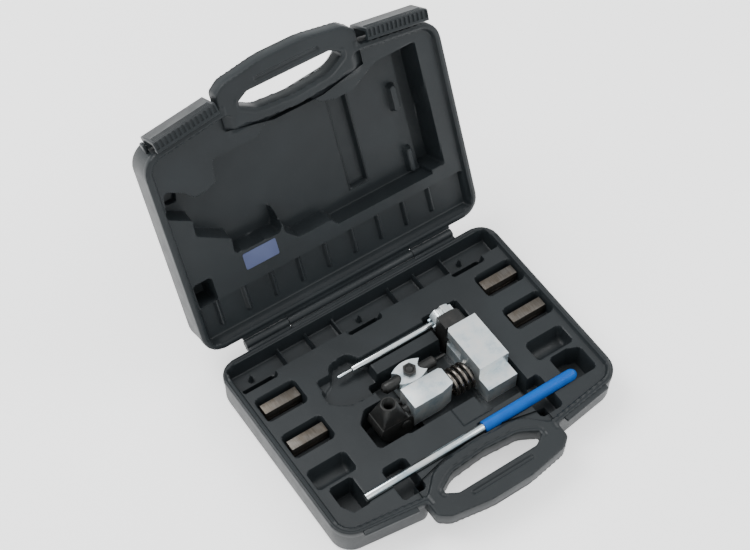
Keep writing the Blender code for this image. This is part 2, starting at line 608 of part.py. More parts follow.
throw = math.radians(CAM_START)
cam_x, cam_z = CAM_X + CAM_E * math.cos(throw), RAM_Z + CAM_E * math.sin(throw)
cam_side = arc(cam_x, cam_z, CAM_R, -138, 8, 10)
cam_side += arc(CAM_X, RAM_Z, 10.2, 10, 62, 4)
cam_side += [(-41.5, NECK_FOOT), (-74.0, NECK_FOOT)]
cam_side += arc(-60, 31, 15.5, 145, 222, 5)
CAM_Y = (-41.2, -14.2)
cam = place("cam_lever", slab(cam_side, *CAM_Y, axis="y"), BLACK_STEEL)


def neck():
    """The hull of the socket's round mouth and the body's rectangular shoulders."""
    form = bmesh.new()
    for i in range(12):
        a = math.radians(30 * i + 15)
        for r, z in ((8.2, NECK_TOP), (9.0, NECK_TOP - 1)):
            form.verts.new((NECK_X + r * math.cos(a), RAM_Y + r * math.sin(a), z))
    for x in (-73.0, -42.0):
        for y in (CAM_Y[0] + 0.5, CAM_Y[1] - 0.5):
            for z in (NECK_FOOT - 2, NECK_FOOT + 1):
                form.verts.new((x, y, z))
    bmesh.ops.convex_hull(form, input=form.verts)
    return to_mesh(form, "neck")


add(cam, "cam_neck", neck())
cut(cam, "lever_socket", span("z", 46, 80, (NECK_X, RAM_Y), 5.4))
cut(cam, "socket_mouth", rod("z", (NECK_X, RAM_Y, NECK_TOP), 4, 3.7, 8.7))
cut(cam, "cam_fork", box((CAM_X - 11, CAM_X + 20), (RAM_Y - 6.4, RAM_Y + 6.4), (-5, RAM_Z + 11)))
cut(cam, "cam_bore", span("y", -60, 0, (CAM_X, RAM_Z), 4.3))
set_origin(cam, (CAM_X, RAM_Y, RAM_Z))
pin = place("cam_pin", turned([(0, 2.0), (5.6, 2.0), (5.6, 0), (4, 0), (4, -29.3), (3.3, -29.3),
                               (3.3, -30.9), (4, -30.9), (4, -32.2), (0, -32.2)], "y", (0, 0, 0),
                              16), BLACK_STEEL)
pin.data.transform(Matrix.Translation(Vector((CAM_X, CAM_Y[0] - 0.3, RAM_Z)) * MM)
                   @ Matrix.Rotation(math.pi, 4, "Z"))
clip = place("cam_pin_clip", span("y", CAM_Y[0] - 0.3 + 29.6, CAM_Y[0] - 0.3 + 30.6,
                                  (CAM_X, RAM_Z), 6.2), BLACK_STEEL)
cut(clip, "clip_bore", span("y", -30, 0, (CAM_X, RAM_Z), 3.6))

# ---------------------------------------------------------------- loose lever
place("lever_rod", turned([(0, 190), (5, 190), (5, 1.2), (4.2, 0), (0, 0)], "x",
                          (-132.5, LEVER_Y, LEVER_Z), 20), ZINC)
grip = place("lever_grip", turned([(0, 123), (3.4, 122), (5.6, 119.4), (6.7, 115.5), (6.7, 1),
                                   (6.2, 0), (0, 0)], "x", (17, LEVER_Y, LEVER_Z), 20), BLUE_VINYL)
cut(grip, "grip_bore", span("x", 5, 58.2, (LEVER_Y, LEVER_Z), 5.3, sides=20))

# ---------------------------------------------------------------- dies
for number, ((x, y), pipe) in enumerate(zip(die_places, PIPES), 1):
    for half, low in (("lower", DIE_FLOOR), ("upper", DIE_FLOOR + DIE_S + GAP)):
        split = DIE_FLOOR + DIE_S + GAP / 2
        die = place(f"die_{number}_{half}", box(
            (x - DIE_L / 2, x + DIE_L / 2), (y - DIE_S / 2, y + DIE_S / 2), (low, low + DIE_S)),
            DIE_STEEL)
        cut(die, f"die_{number}_{half}_way", span("x", x - 30, x + 30, (y, split), pipe / 2,
                                                 sides=12))

# ---------------------------------------------------------------- open the lid
hinge_line.rotation_euler = (math.radians(-LID_OPEN), 0, 0)
bpy.context.view_layer.update()
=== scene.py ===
"""The looks of the flaring tool kit: moulded case halves as fine height fields, turned and
machined tool parts with softened edges, and a material for each kind of surface.

Lengths here are millimetres, and become metres when a piece is placed. The lid is made shut,
upside down over the base, and then turned open about its hinge.
"""

import json
import math

import bmesh
import bpy
import numpy as np
from mathutils import Matrix, Vector


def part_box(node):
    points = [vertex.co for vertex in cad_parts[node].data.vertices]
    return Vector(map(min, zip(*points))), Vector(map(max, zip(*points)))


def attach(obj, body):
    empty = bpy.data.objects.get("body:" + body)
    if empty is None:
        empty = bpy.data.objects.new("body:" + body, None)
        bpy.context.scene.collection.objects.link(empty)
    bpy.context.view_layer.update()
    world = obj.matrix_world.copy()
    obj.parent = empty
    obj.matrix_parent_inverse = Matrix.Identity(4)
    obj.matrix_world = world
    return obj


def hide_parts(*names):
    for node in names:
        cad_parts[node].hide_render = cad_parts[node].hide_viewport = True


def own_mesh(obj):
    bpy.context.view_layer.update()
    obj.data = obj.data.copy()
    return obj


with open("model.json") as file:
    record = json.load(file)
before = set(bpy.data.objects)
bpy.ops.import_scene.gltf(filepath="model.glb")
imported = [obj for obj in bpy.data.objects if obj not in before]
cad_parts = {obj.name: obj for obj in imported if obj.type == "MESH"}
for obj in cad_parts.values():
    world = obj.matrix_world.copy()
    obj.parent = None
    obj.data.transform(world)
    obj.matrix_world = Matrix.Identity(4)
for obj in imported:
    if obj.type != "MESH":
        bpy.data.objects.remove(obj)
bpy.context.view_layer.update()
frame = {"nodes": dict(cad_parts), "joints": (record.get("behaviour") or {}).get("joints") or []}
MM = 0.001


def span_of(node):
    """(low corner, high corner) of a CAD node, in millimetres."""
    low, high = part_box(node)
    return low / MM, high / MM


def middle(node):
    low, high = span_of(node)
    return (low + high) / 2


# ---------------------------------------------------------------- driving sizes
HINGE = next(j for j in frame["joints"] if j["name"] == "lid_hinge")
HINGE_Y, HINGE_Z = HINGE["pos_m"][1] / MM, HINGE["pos_m"][2] / MM
LID_OPEN = -HINGE["range_deg"][0]
base_low, base_high = span_of("case_base")
CASE_HALF_W = base_high.x
RIM = HINGE_Z
CASE_HALF_D = HINGE_Y - 8.5
SHOULDER = 0.134
SHUT_H = 2 * RIM  # outside height of the shut case
HANDLE_T = 21.0
HANDLE_FRONT = base_low.y
TRAY = 39.5
LID_RIM, LID_TRAY = 42.7, 38.2  # measured from the lid's outside
CELL = 1.1  # grid of the height fields
BASE_KNUCKLES, LID_KNUCKLE = ((-137, -82.3), (82.3, 137)), (-82, 82)
LATCH_X, LATCH_L, LATCH_Z = 125.5, 75.0, 62.0  # middle, length, and the pin's height when shut
LATCH_OUT, LATCH_OPEN = 4.5, 8.0  # the pin's distance from the case, and degrees off shut
ROD_Y, ROD_Z, ROD_BORE = -27.6, 32.0, 6.3  # the guide rod, and the bores that it passes

OPEN_LID = (Matrix.Translation((0, HINGE_Y, HINGE_Z))
            @ Matrix.Rotation(math.radians(-LID_OPEN), 4, "X")
            @ Matrix.Translation((0, -HINGE_Y, -HINGE_Z)))
OVER = Matrix.Translation((0, 0, SHUT_H)) @ Matrix.Diagonal((1, 1, -1, 1))
LID_PLACE = OPEN_LID @ OVER

# ---------------------------------------------------------------- camera, light and floor


def camera():
    """A long lens above the front left corner, tilted by less than a degree."""
    azimuth, elevation, roll = (math.radians(angle) for angle in (34.915, 54.379, 0.83))
    ahead = Vector((math.cos(elevation) * math.sin(azimuth),
                    math.cos(elevation) * math.cos(azimuth), -math.sin(elevation)))
    right = Vector((math.cos(azimuth), -math.sin(azimuth), 0))
    up = (-ahead).cross(right)
    right, up = (right * math.cos(roll) + up * math.sin(roll),
                 up * math.cos(roll) - right * math.sin(roll))
    data = bpy.data.cameras.new("camera")
    data.sensor_width = 36.0
    data.lens = 81.8
    data.clip_start, data.clip_end = 0.05, 50
    obj = bpy.data.objects.new("camera", data)
    turn = Matrix((right, up, -ahead)).transposed().to_4x4()
    obj.matrix_world = Matrix.Translation(Vector((-600.8, -776.9, 1585.8)) * MM) @ turn
    bpy.context.scene.collection.objects.link(obj)
    bpy.context.scene.camera = obj


def soft_light(name, place, aim, size, power):
    data = bpy.data.lights.new(name, "AREA")
    data.shape = "RECTANGLE"
    data.size, data.size_y = size
    data.energy = power
    obj = bpy.data.objects.new(name, data)
    obj.location = place
    obj.rotation_euler = (Vector(aim) - Vector(place)).to_track_quat("-Z", "Y").to_euler()
    bpy.context.scene.collection.objects.link(obj)


def studio():
    """Three soft lights, a pale sky that darkens downwards, and a bright plain floor."""
    soft_light("key", (-0.7, 1.0, 1.8), (0, 0, 0), (1.3, 1.3), 38)
    soft_light("fill", (1.4, -0.5, 1.3), (0, 0, 0), (1.2, 1.2), 14)
    soft_light("front", (-0.9, -1.6, 1.2), (0, 0, 0.05), (1.4, 1.0), 6)
    world = bpy.data.worlds.new("studio")
    world.use_nodes = True
    tree = world.node_tree
    coords = tree.nodes.new("ShaderNodeTexCoord")
    parts = tree.nodes.new("ShaderNodeSeparateXYZ")
    height = tree.nodes.new("ShaderNodeMapRange")
    height.inputs["From Min"].default_value = -0.15
    height.inputs["From Max"].default_value = 0.85
    sky = tree.nodes.new("ShaderNodeValToRGB")
    for element, shade in zip(sky.color_ramp.elements, ((0.20, 0.26, 0.29), (1.0, 1.0, 1.0))):
        element.color = (*shade, 1)
    tree.links.new(coords.outputs["Generated"], parts.inputs["Vector"])
    tree.links.new(parts.outputs["Z"], height.inputs["Value"])
    tree.links.new(height.outputs["Result"], sky.inputs["Fac"])
    tree.links.new(sky.outputs["Color"], tree.nodes["Background"].inputs["Color"])
    tree.nodes["Background"].inputs["Strength"].default_value = 1.15
    bpy.context.scene.world = world
    bpy.ops.mesh.primitive_plane_add(size=8, location=(0, 0, -0.0002))
    floor = bpy.context.object
    floor.name = "floor"
    paint = bpy.data.materials.new("floor_paint")
    paint.use_nodes = True
    shader = paint.node_tree.nodes["Principled BSDF"]
    shader.inputs["Base Color"].default_value = (0.96, 0.96, 0.96, 1)
    shader.inputs["Roughness"].default_value = 0.8
    shader.inputs["Emission Color"].default_value = (1, 1, 1, 1)
    shader.inputs["Emission Strength"].default_value = 0.9
    floor.data.materials.append(paint)


# ---------------------------------------------------------------- materials


class Nodes:
    """Short calls for building one material's node tree, on object coordinates in metres."""

    def __init__(self, name, metallic, **constants):
        self.material = bpy.data.materials.new(name)
        self.material.use_nodes = True
        self.tree = self.material.node_tree
        self.shader = self.tree.nodes["Principled BSDF"]
        self.shader.inputs["Metallic"].default_value = metallic
        for socket, value in constants.items():
            self.shader.inputs[socket.replace("_", " ")].default_value = value
        self.coords = self.tree.nodes.new("ShaderNodeTexCoord").outputs["Object"]

    def stretch(self, scale):
        node = self.tree.nodes.new("ShaderNodeMapping")
        node.inputs["Scale"].default_value = scale
        self.tree.links.new(self.coords, node.inputs["Vector"])
        return node.outputs["Vector"]

    def noise(self, scale, detail=3.0, rough=0.5, vector=None):
        node = self.tree.nodes.new("ShaderNodeTexNoise")
        node.inputs["Scale"].default_value = scale
        node.inputs["Detail"].default_value = detail
        node.inputs["Roughness"].default_value = rough
        self.tree.links.new(vector or self.coords, node.inputs["Vector"])
        return node.outputs["Fac"]

    def cells(self, scale):
        node = self.tree.nodes.new("ShaderNodeTexVoronoi")
        node.inputs["Scale"].default_value = scale
        self.tree.links.new(self.coords, node.inputs["Vector"])
        return node.outputs["Distance"]

    def ramp(self, factor, stops):
        node = self.tree.nodes.new("ShaderNodeValToRGB")
        ramp = node.color_ramp
        for position, colour in stops[2:]:
            ramp.elements.new(position)
        for element, (position, colour) in zip(ramp.elements, stops):
            element.position = position
            shade = colour if isinstance(colour, tuple) else (colour,) * 3
            element.color = (*shade, 1)
        self.tree.links.new(factor, node.inputs["Fac"])
        return node.outputs["Color"]

    def mix(self, factor, a, b, blend="MIX"):
        node = self.tree.nodes.new("ShaderNodeMix")
        node.data_type = "RGBA"
        node.blend_type = blend
        for socket, value in ((node.inputs["Factor"], factor), (node.inputs["A"], a),
                              (node.inputs["B"], b)):
            if isinstance(value, (int, float)):
                socket.default_value = value
            elif isinstance(value, tuple):
                socket.default_value = (*value, 1)
            else:
                self.tree.links.new(value, socket)
        return node.outputs["Result"]

    def colour(self, socket):
        self.tree.links.new(socket, self.shader.inputs["Base Color"])

    def roughness(self, factor, low, high):
        node = self.tree.nodes.new("ShaderNodeMapRange")
        node.inputs["To Min"].default_value = low
        node.inputs["To Max"].default_value = high
        self.tree.links.new(factor, node.inputs["Value"])
        self.tree.links.new(node.outputs["Result"], self.shader.inputs["Roughness"])

    def bump(self, *layers):
        """Stacks (height, strength, distance) layers."""
        normal = None
        for height, strength, distance in layers:
            node = self.tree.nodes.new("ShaderNodeBump")
            node.inputs["Strength"].default_value = strength
            node.inputs["Distance"].default_value = distance
            self.tree.links.new(height, node.inputs["Height"])
            if normal is not None:
                self.tree.links.new(normal, node.inputs["Normal"])
            normal = node.outputs["Normal"]
        self.tree.links.new(normal, self.shader.inputs["Normal"])


def case_plastic():
    """Charcoal moulded plastic: fine grain, soft waves of a blown wall, and faint scuffs."""
    made = Nodes("case_plastic_grained", 0.0, Specular_IOR_Level=0.36)
    broad = made.noise(14, 2)
    tone = made.ramp(broad, [(0.3, (0.0095, 0.0125, 0.0145)), (0.7, (0.014, 0.018, 0.0205))])
    scuff = made.ramp(made.noise(90, 6, 0.7), [(0.62, 0.0), (0.74, 1.0)])
    made.colour(made.mix(made.mix(1.0, scuff, (0.22, 0.22, 0.22), "MULTIPLY"), tone,
                         (0.034, 0.040, 0.044)))
    made.roughness(made.noise(60, 4), 0.36, 0.56)
    made.bump((made.noise(1700, 2), 0.22, 0.0004), (made.cells(1100), 0.12, 0.0004),
              (made.noise(22, 2), 0.35, 0.002))
    return made.material


def zinc(name, metallic, rough_low, rough_high):
    """Bright zinc plate, with the cool and warm clouding of its passivation."""
    made = Nodes(name, metallic, Specular_IOR_Level=0.5)
    cloud = made.noise(55, 6, 0.66)
    made.colour(made.ramp(cloud, [(0.32, (0.47, 0.58, 0.64)), (0.5, (0.72, 0.78, 0.80)),
                                  (0.68, (0.81, 0.82, 0.81))]))
    made.roughness(made.noise(180, 5, 0.65), rough_low, rough_high)
    lines = made.noise(60, 3, 0.5, made.stretch((1.0, 1.0, 14.0)))
    made.bump((made.noise(420, 4, 0.6), 0.07, 0.0002), (lines, 0.05, 0.0003))
    return made.material


def black_steel():
    """Black oxide over a forged and machined surface, rubbed brown in places."""
    made = Nodes("black_oxide", 0.4, Specular_IOR_Level=0.5)
    made.colour(made.ramp(made.noise(120, 6, 0.65), [
        (0.35, (0.017, 0.018, 0.018)), (0.6, (0.028, 0.028, 0.027)),
        (0.8, (0.058, 0.050, 0.046))]))
    made.roughness(made.noise(260, 4), 0.3, 0.52)
    made.bump((made.noise(650, 5, 0.6), 0.22, 0.0004))
    return made.material


def spring_steel():
    """Dark, oiled spring wire."""
    made = Nodes("spring_steel_oiled", 0.95, Specular_IOR_Level=0.5)
    made.colour(made.ramp(made.noise(140, 5, 0.6), [
        (0.3, (0.11, 0.095, 0.08)), (0.7, (0.24, 0.22, 0.2))]))
    made.roughness(made.noise(300, 3), 0.18, 0.34)
    made.bump((made.noise(700, 4), 0.1, 0.0003))
    return made.material


def die_steel():
    """Milled bar: fine streaks across the bar, brownish where the oil has dried."""
    made = Nodes("die_steel_milled", 0.85, Specular_IOR_Level=0.5)
    streaks = made.noise(160, 4, 0.6, made.stretch((9.0, 0.6, 0.6)))
    blotch = made.noise(80, 4, 0.6)
    milled = made.ramp(streaks, [(0.3, (0.085, 0.079, 0.071)), (0.7, (0.165, 0.155, 0.142))])
    stain = made.ramp(blotch, [(0.35, (0.75, 0.68, 0.6)), (0.65, (1.0, 1.0, 1.0))])
    made.colour(made.mix(1.0, milled, stain, "MULTIPLY"))
    made.roughness(streaks, 0.3, 0.5)
    made.bump((streaks, 0.18, 0.0003), (made.noise(900, 3), 0.08, 0.0002))
    return made.material


def plain_steel():
    """Ground bar, for the pins."""
    made = Nodes("ground_steel", 1.0, Specular_IOR_Level=0.5)
    made.colour(made.ramp(made.noise(200, 4), [(0.3, (0.42, 0.41, 0.40)),
                                               (0.7, (0.60, 0.60, 0.60))]))
    made.roughness(made.noise(500, 3), 0.2, 0.36)
    made.bump((made.noise(900, 3), 0.08, 0.0002))
    return made.material


def blue_vinyl():
    """Dipped vinyl: soft gloss, slightly uneven thickness, and a few dull rubbed patches."""
    made = Nodes("blue_dipped_vinyl", 0.0, Specular_IOR_Level=0.22)
    made.colour(made.ramp(made.noise(60, 4), [(0.3, (0.0, 0.075, 0.36)),
                                              (0.7, (0.0, 0.10, 0.45))]))
    made.roughness(made.noise(150, 4, 0.6), 0.26, 0.46)
    made.bump((made.noise(90, 3), 0.25, 0.0006), (made.noise(1200, 2), 0.08, 0.0002))
    return made.material


def label_film():
    """A plain dark blue sticker with nothing on it."""
    made = Nodes("label_film", 0.0, Specular_IOR_Level=0.5)
    made.colour(made.ramp(made.noise(30, 2), [(0.3, (0.045, 0.06, 0.15)),
                                              (0.7, (0.06, 0.08, 0.18))]))
    made.roughness(made.noise(200, 2), 0.25, 0.35)
    made.bump((made.noise(500, 2), 0.05, 0.0002))
    return made.material


PLASTIC, BLACK = case_plastic(), black_steel()
ZINC = zinc("zinc_clouded", 0.84, 0.24, 0.48)
BRIGHT = zinc("zinc_on_turned_bar", 1.0, 0.1, 0.26)
SPRING, DIE, STEEL, VINYL = spring_steel(), die_steel(), plain_steel(), blue_vinyl()
LABEL = label_film()

# ---------------------------------------------------------------- shapes


def place(name, mesh, look, body, *nodes):
    """Puts a mesh drawn in millimetres into the scene, riding on a body, for some CAD nodes."""
    mesh.transform(Matrix.Scale(MM, 4))
    mesh.materials.clear()
    mesh.materials.append(look)
    mesh.shade_smooth()
    mesh.set_sharp_from_angle(angle=math.radians(35))
    obj = bpy.data.objects.new(name, mesh)
    bpy.context.scene.collection.objects.link(obj)
    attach(obj, body)
    if nodes:
        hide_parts(*nodes)
    return obj


def from_form(form):
    """The mesh of a finished bmesh, with its faces turned outwards."""
    bmesh.ops.recalc_face_normals(form, faces=form.faces)
    mesh = bpy.data.meshes.new("shape")
    form.to_mesh(mesh)
    form.free()
    return mesh


def joined(*meshes):
    form = bmesh.new()
    for mesh in meshes:
        form.from_mesh(mesh)
        bpy.data.meshes.remove(mesh)
    mesh = bpy.data.meshes.new("joined")
    form.to_mesh(mesh)
    form.free()
    return mesh


def moved(mesh, matrix):
    mesh.transform(matrix)
    if matrix.determinant() < 0:
        mesh.flip_normals()
    return mesh


def box(x, y, z):
    form = bmesh.new()
    bmesh.ops.create_cube(form, size=1.0)
    size = Vector((x[1] - x[0], y[1] - y[0], z[1] - z[0]))
    centre = Vector((x[0] + x[1], y[0] + y[1], z[0] + z[1])) / 2
    bmesh.ops.scale(form, vec=size, verts=form.verts)
    bmesh.ops.translate(form, vec=centre, verts=form.verts)
    return from_form(form)


TURN = {"x": Matrix.Rotation(math.radians(90), 4, "Y"),
        "y": Matrix.Rotation(math.radians(-90), 4, "X"), "z": Matrix.Identity(4)}


def turned(profile, axis, centre, sides=48):
    """A turned solid from (radius, height) pairs, high to low, that starts and ends on the axis."""
    form = bmesh.new()
    rings = []
    for radius, height in profile:
        if radius < 1e-6:
            rings.append([form.verts.new((0, 0, height))])
            continue
        rings.append([form.verts.new((radius * math.cos(2 * math.pi * i / sides),
                                      radius * math.sin(2 * math.pi * i / sides), height))
                      for i in range(sides)])
    for above, below in zip(rings, rings[1:]):
        for i in range(sides):
            k = (i + 1) % sides
            ring = [above[i % len(above)], below[i % len(below)], below[k % len(below)],
                    above[k % len(above)]]
            corners = [v for j, v in enumerate(ring) if v not in ring[:j]]
            if len(corners) > 2:
                form.faces.new(corners)
    mesh = from_form(form)
    mesh.transform(Matrix.Translation(centre) @ TURN[axis])
    return mesh


def span(axis, start, end, across, radius, sides=48):
    """A plain round bar along an axis, at the two coordinates across it."""
    centre = list(across)
    centre.insert("xyz".index(axis), 0)
    return turned([(0, end), (radius, end), (radius, start), (0, start)], axis, centre, sides)


def eased(radius, start, end, ease=0.5):
    """A bar's profile with rounded rims, from end down to start."""
    return [(0, end), (radius - ease, end), (radius - 0.3 * ease, end - 0.3 * ease),
            (radius, end - ease), (radius, start + ease),
            (radius - 0.3 * ease, start + 0.3 * ease), (radius - ease, start), (0, start)]


def rounded(corners, step=7.5):
    """Outline points for corners given as (x, y) or (x, y, radius)."""
    points = []
    count = len(corners)
    for i, corner in enumerate(corners):
        here = Vector(corner[:2])
        radius = corner[2] if len(corner) > 2 else 0.0
        before = (Vector(corners[i - 1][:2]) - here).normalized()
        after = (Vector(corners[(i + 1) % count][:2]) - here).normalized()
        angle = before.angle(after)
        if radius == 0 or angle > math.pi - 0.01:
            points.append(here)
            continue
        reach = radius / math.tan(angle / 2)
        centre = here + (before + after).normalized() * radius / math.sin(angle / 2)
        start = here + before * reach - centre
        turn = start.angle_signed(here + after * reach - centre)
        steps = max(1, round(math.degrees(abs(turn)) / step))
        for k in range(steps + 1):
            a = -turn * k / steps
            points.append(centre + Vector((start.x * math.cos(a) - start.y * math.sin(a),
                                           start.x * math.sin(a) + start.y * math.cos(a))))
    return [tuple(point) for point in points]


def mirrored(right_side):
    """A whole outline from its right side's corners, listed from back to front."""
    left = [(-corner[0], *corner[1:]) for corner in right_side if corner[0] > 0.01]
    return [*left, *reversed(right_side)]


def slab(points, low, high, upright=False):
    """An outline drawn in XY and raised along Z or, upright, drawn in XZ and drawn out along Y."""
    form = bmesh.new()
    floor = [form.verts.new((x, low, y) if upright else (x, y, low)) for x, y in points]
    face = form.faces.new(floor)
    made = bmesh.ops.extrude_face_region(form, geom=[face])
    shift = Vector((0, high - low, 0) if upright else (0, 0, high - low))
    bmesh.ops.translate(form, vec=shift, verts=[v for v in made["geom"]
                                                if isinstance(v, bmesh.types.BMVert)])
    return from_form(form)


def machined(mesh, cuts=(), adds=(), edge=0.6, segments=3):
    """Cuts from and adds to a mesh, then softens its sharp edges."""
    obj = bpy.data.objects.new("work", mesh)
    bpy.context.scene.collection.objects.link(obj)
    tools = []
    for operation, group in (("UNION", adds), ("DIFFERENCE", cuts)):
        for other in group:
            tool = bpy.data.objects.new("tool", other)
            bpy.context.scene.collection.objects.link(tool)
            modifier = obj.modifiers.new("cut", "BOOLEAN")
            modifier.operation = operation
            modifier.object = tool
            tools.append(tool)
    if edge:
        soften = obj.modifiers.new("edge", "BEVEL")
        soften.width = edge
        soften.segments = segments
        soften.limit_method = "ANGLE"
        soften.angle_limit = math.radians(32)
    graph = bpy.context.evaluated_depsgraph_get()
    made = bpy.data.meshes.new_from_object(obj.evaluated_get(graph))
    for thing in (obj, *tools):
        bpy.data.objects.remove(thing, do_unlink=True)
    return made


# ---------------------------------------------------------------- height fields


def distance(points, x, y):
    """Signed distance from the places to an outline, negative inside it."""
    corners = np.array(points)
    nearest = np.full(x.shape, 1e9)
    inside = np.zeros(x.shape, bool)
    for (ax, ay), (bx, by) in zip(corners, np.roll(corners, -1, axis=0)):
        ex, ey = bx - ax, by - ay
        t = np.clip(((x - ax) * ex + (y - ay) * ey) / (ex * ex + ey * ey + 1e-12), 0, 1)
        nearest = np.minimum(nearest, np.hypot(x - ax - t * ex, y - ay - t * ey))
        if abs(ey) > 1e-9:
            inside ^= ((ay > y) != (by > y)) & (x < ax + (y - ay) * ex / ey)
    return np.where(inside, -nearest, nearest)


def near(points, x, y, margin):
    """The slice of the grid within a margin of the outline."""
    corners = np.array(points)
    low, high = corners.min(0) - margin, corners.max(0) + margin
    rows = np.where((y[:, 0] >= low[1]) & (y[:, 0] <= high[1]))[0]
    columns = np.where((x[0] >= low[0]) & (x[0] <= high[0]))[0]
    return np.s_[rows[0]:rows[-1] + 1, columns[0]:columns[-1] + 1]


def slope(t):
    """A smooth step from 0 to 1."""
    t = np.clip(t, 0, 1)
    return t * t * (3 - 2 * t)


def sink(z, x, y, points, floor, run=1.6, soft=0.9):
    """Lowers the field to a floor inside an outline, with a drafted wall and soft edges."""
    part = near(points, x, y, 4)
    inward = -distance(points, x[part], y[part])
    ground = z[part]
    level = ground + (floor - ground) * slope((inward + soft) / (run + 2 * soft))
    z[part] = np.minimum(ground, level)


def lift(z, x, y, points, top, run=1.0, soft=0.7):
    """Raises the field to a top inside an outline."""
    part = near(points, x, y, 4)
    inward = -distance(points, x[part], y[part])
    ground = z[part]
    level = ground + (top - ground) * slope((inward + soft) / (run + 2 * soft))
    z[part] = np.maximum(ground, level)


def groove(z, x, y, start, end, y0, axis_z, radius):
    """Presses a round bar's shape, lying along X, into the field."""
    along = np.maximum(np.maximum(start - x, x - end), 0)
    away = np.hypot(y - y0, along * 1.5)
    depth = axis_z - np.sqrt(np.clip(radius ** 2 - away ** 2, 0, None))
    np.minimum(z, np.where(away < radius, depth, 1e9), out=z)


def ridge(z, x, y, points, half_width, height):
    """A rounded ridge that follows an open line."""
    nearest = np.full(x.shape, 1e9)
    for (ax, ay), (bx, by) in zip(points, points[1:]):
        ex, ey = bx - ax, by - ay
        t = np.clip(((x - ax) * ex + (y - ay) * ey) / (ex * ex + ey * ey), 0, 1)
        nearest = np.minimum(nearest, np.hypot(x - ax - t * ex, y - ay - t * ey))
    z += height * slope(1.2 - nearest / half_width)


def sheet(x, y, z, edge):
    """The grid as a mesh, trimmed where edge is positive, with its border drawn onto the edge."""
    dy, dx = np.gradient(edge, CELL)
    size = np.maximum(np.hypot(dx, dy), 0.3)
    rows, columns = x.shape
    centre = (edge[:-1, :-1] + edge[1:, :-1] + edge[:-1, 1:] + edge[1:, 1:]) / 4
    kept = centre < 0
    index = np.arange(rows * columns).reshape(rows, columns)
    quads = np.stack([index[:-1, :-1], index[:-1, 1:], index[1:, 1:], index[1:, :-1]], -1)[kept]
    shift = np.where(edge > -0.35 * CELL, edge, 0) / size
    places = np.stack([x - dx / size * shift, y - dy / size * shift, z], -1).reshape(-1, 3)
    used = np.unique(quads)
    renumber = np.zeros(rows * columns, int)
    renumber[used] = np.arange(len(used))
    mesh = bpy.data.meshes.new("sheet")
    mesh.from_pydata(places[used].tolist(), [], renumber[quads].tolist())
    return mesh


def walls(points, rings, cap_first=True):
    """Rings of (height, inset) round an outline, joined into a wall and capped at the first."""
    corners = np.array(points)
    ahead = np.roll(corners, -1, axis=0) - corners
    ahead /= np.maximum(np.hypot(ahead[:, 0], ahead[:, 1])[:, None], 1e-9)
    both = ahead + np.roll(ahead, 1, axis=0)
    both /= np.maximum(np.hypot(both[:, 0], both[:, 1])[:, None], 1e-9)
    inward = np.stack([-both[:, 1], both[:, 0]], -1)
    area = np.sum(corners[:, 0] * np.roll(corners[:, 1], -1)
                  - corners[:, 1] * np.roll(corners[:, 0], -1))
    if area < 0:
        inward = -inward
    form = bmesh.new()
    made = [[form.verts.new((*place, height)) for place in corners + inward * inset]
            for height, inset in rings]
    count = len(corners)
    for below, above in zip(made, made[1:]):
        for i in range(count):
            k = (i + 1) % count
            form.faces.new((below[i], below[k], above[k], above[i]))
    if cap_first:
        cap = form.faces.new(made[0])
        bmesh.ops.triangulate(form, faces=[cap])
    return from_form(form)


# ---------------------------------------------------------------- case


def shoulder_y(x, inset=0.0):
    """The front edge, which leans forward towards the handle, at this distance from the middle."""
    return -CASE_HALF_D - SHOULDER * (CASE_HALF_W - abs(x)) + inset


W, D = CASE_HALF_W, CASE_HALF_D
BODY = rounded(mirrored([(W, D, 22), (W, -D, 26), (82, shoulder_y(82), 10), (58, -114, 30),
                         (0, -108)]), 6)
HANDLE = rounded(mirrored([(30, -100), (84, -112), (84, -153, 8), (72, -162, 14),
                           (26, HANDLE_FRONT, 60)]), 6)
HAND_HOLE = rounded(mirrored([(0, -117.5), (43, -121, 25), (66, -134, 4), (50, -143.5, 8)]), 6)


def inner_line(inset):
    """The tray's outline. Its front edge passes behind the hand hole."""
    return rounded(mirrored([(W - inset, D - inset, 15),
                             (W - inset, shoulder_y(W - inset, inset), 18),
                             (78, shoulder_y(78, inset), 6), (56, -108, 25),
                             (0, -103.5)]), 6)


def patch(x, y, radius=4.0):
    """A rounded rectangle."""
    return rounded([(x[0], y[0], radius), (x[1], y[0], radius), (x[1], y[1], radius),
                    (x[0], y[1], radius)], 15)


def half_grid():
    x = np.arange(-W - 2, W + 2 + CELL, CELL)
    y = np.arange(HANDLE_FRONT - 2, D + 2 + CELL, CELL)
    return np.meshgrid(x, y)


def outline_edge(x, y):
    """Signed distance to the case half's outline, with the handle's roots filleted."""
    body, handle = distance(BODY, x, y), distance(HANDLE, x, y)
    reach = 5.0
    blend = np.clip(0.5 + 0.5 * (body - handle) / reach, 0, 1)
    both = body * (1 - blend) + handle * blend - reach * blend * (1 - blend)
    return np.maximum(both, -distance(HAND_HOLE, x, y))


def round_over(edge, radius):
    """How far a rounded rim has dropped at this distance from the edge."""
    q = np.clip(edge + radius, 0, radius)
    return radius - np.sqrt(radius ** 2 - q ** 2)


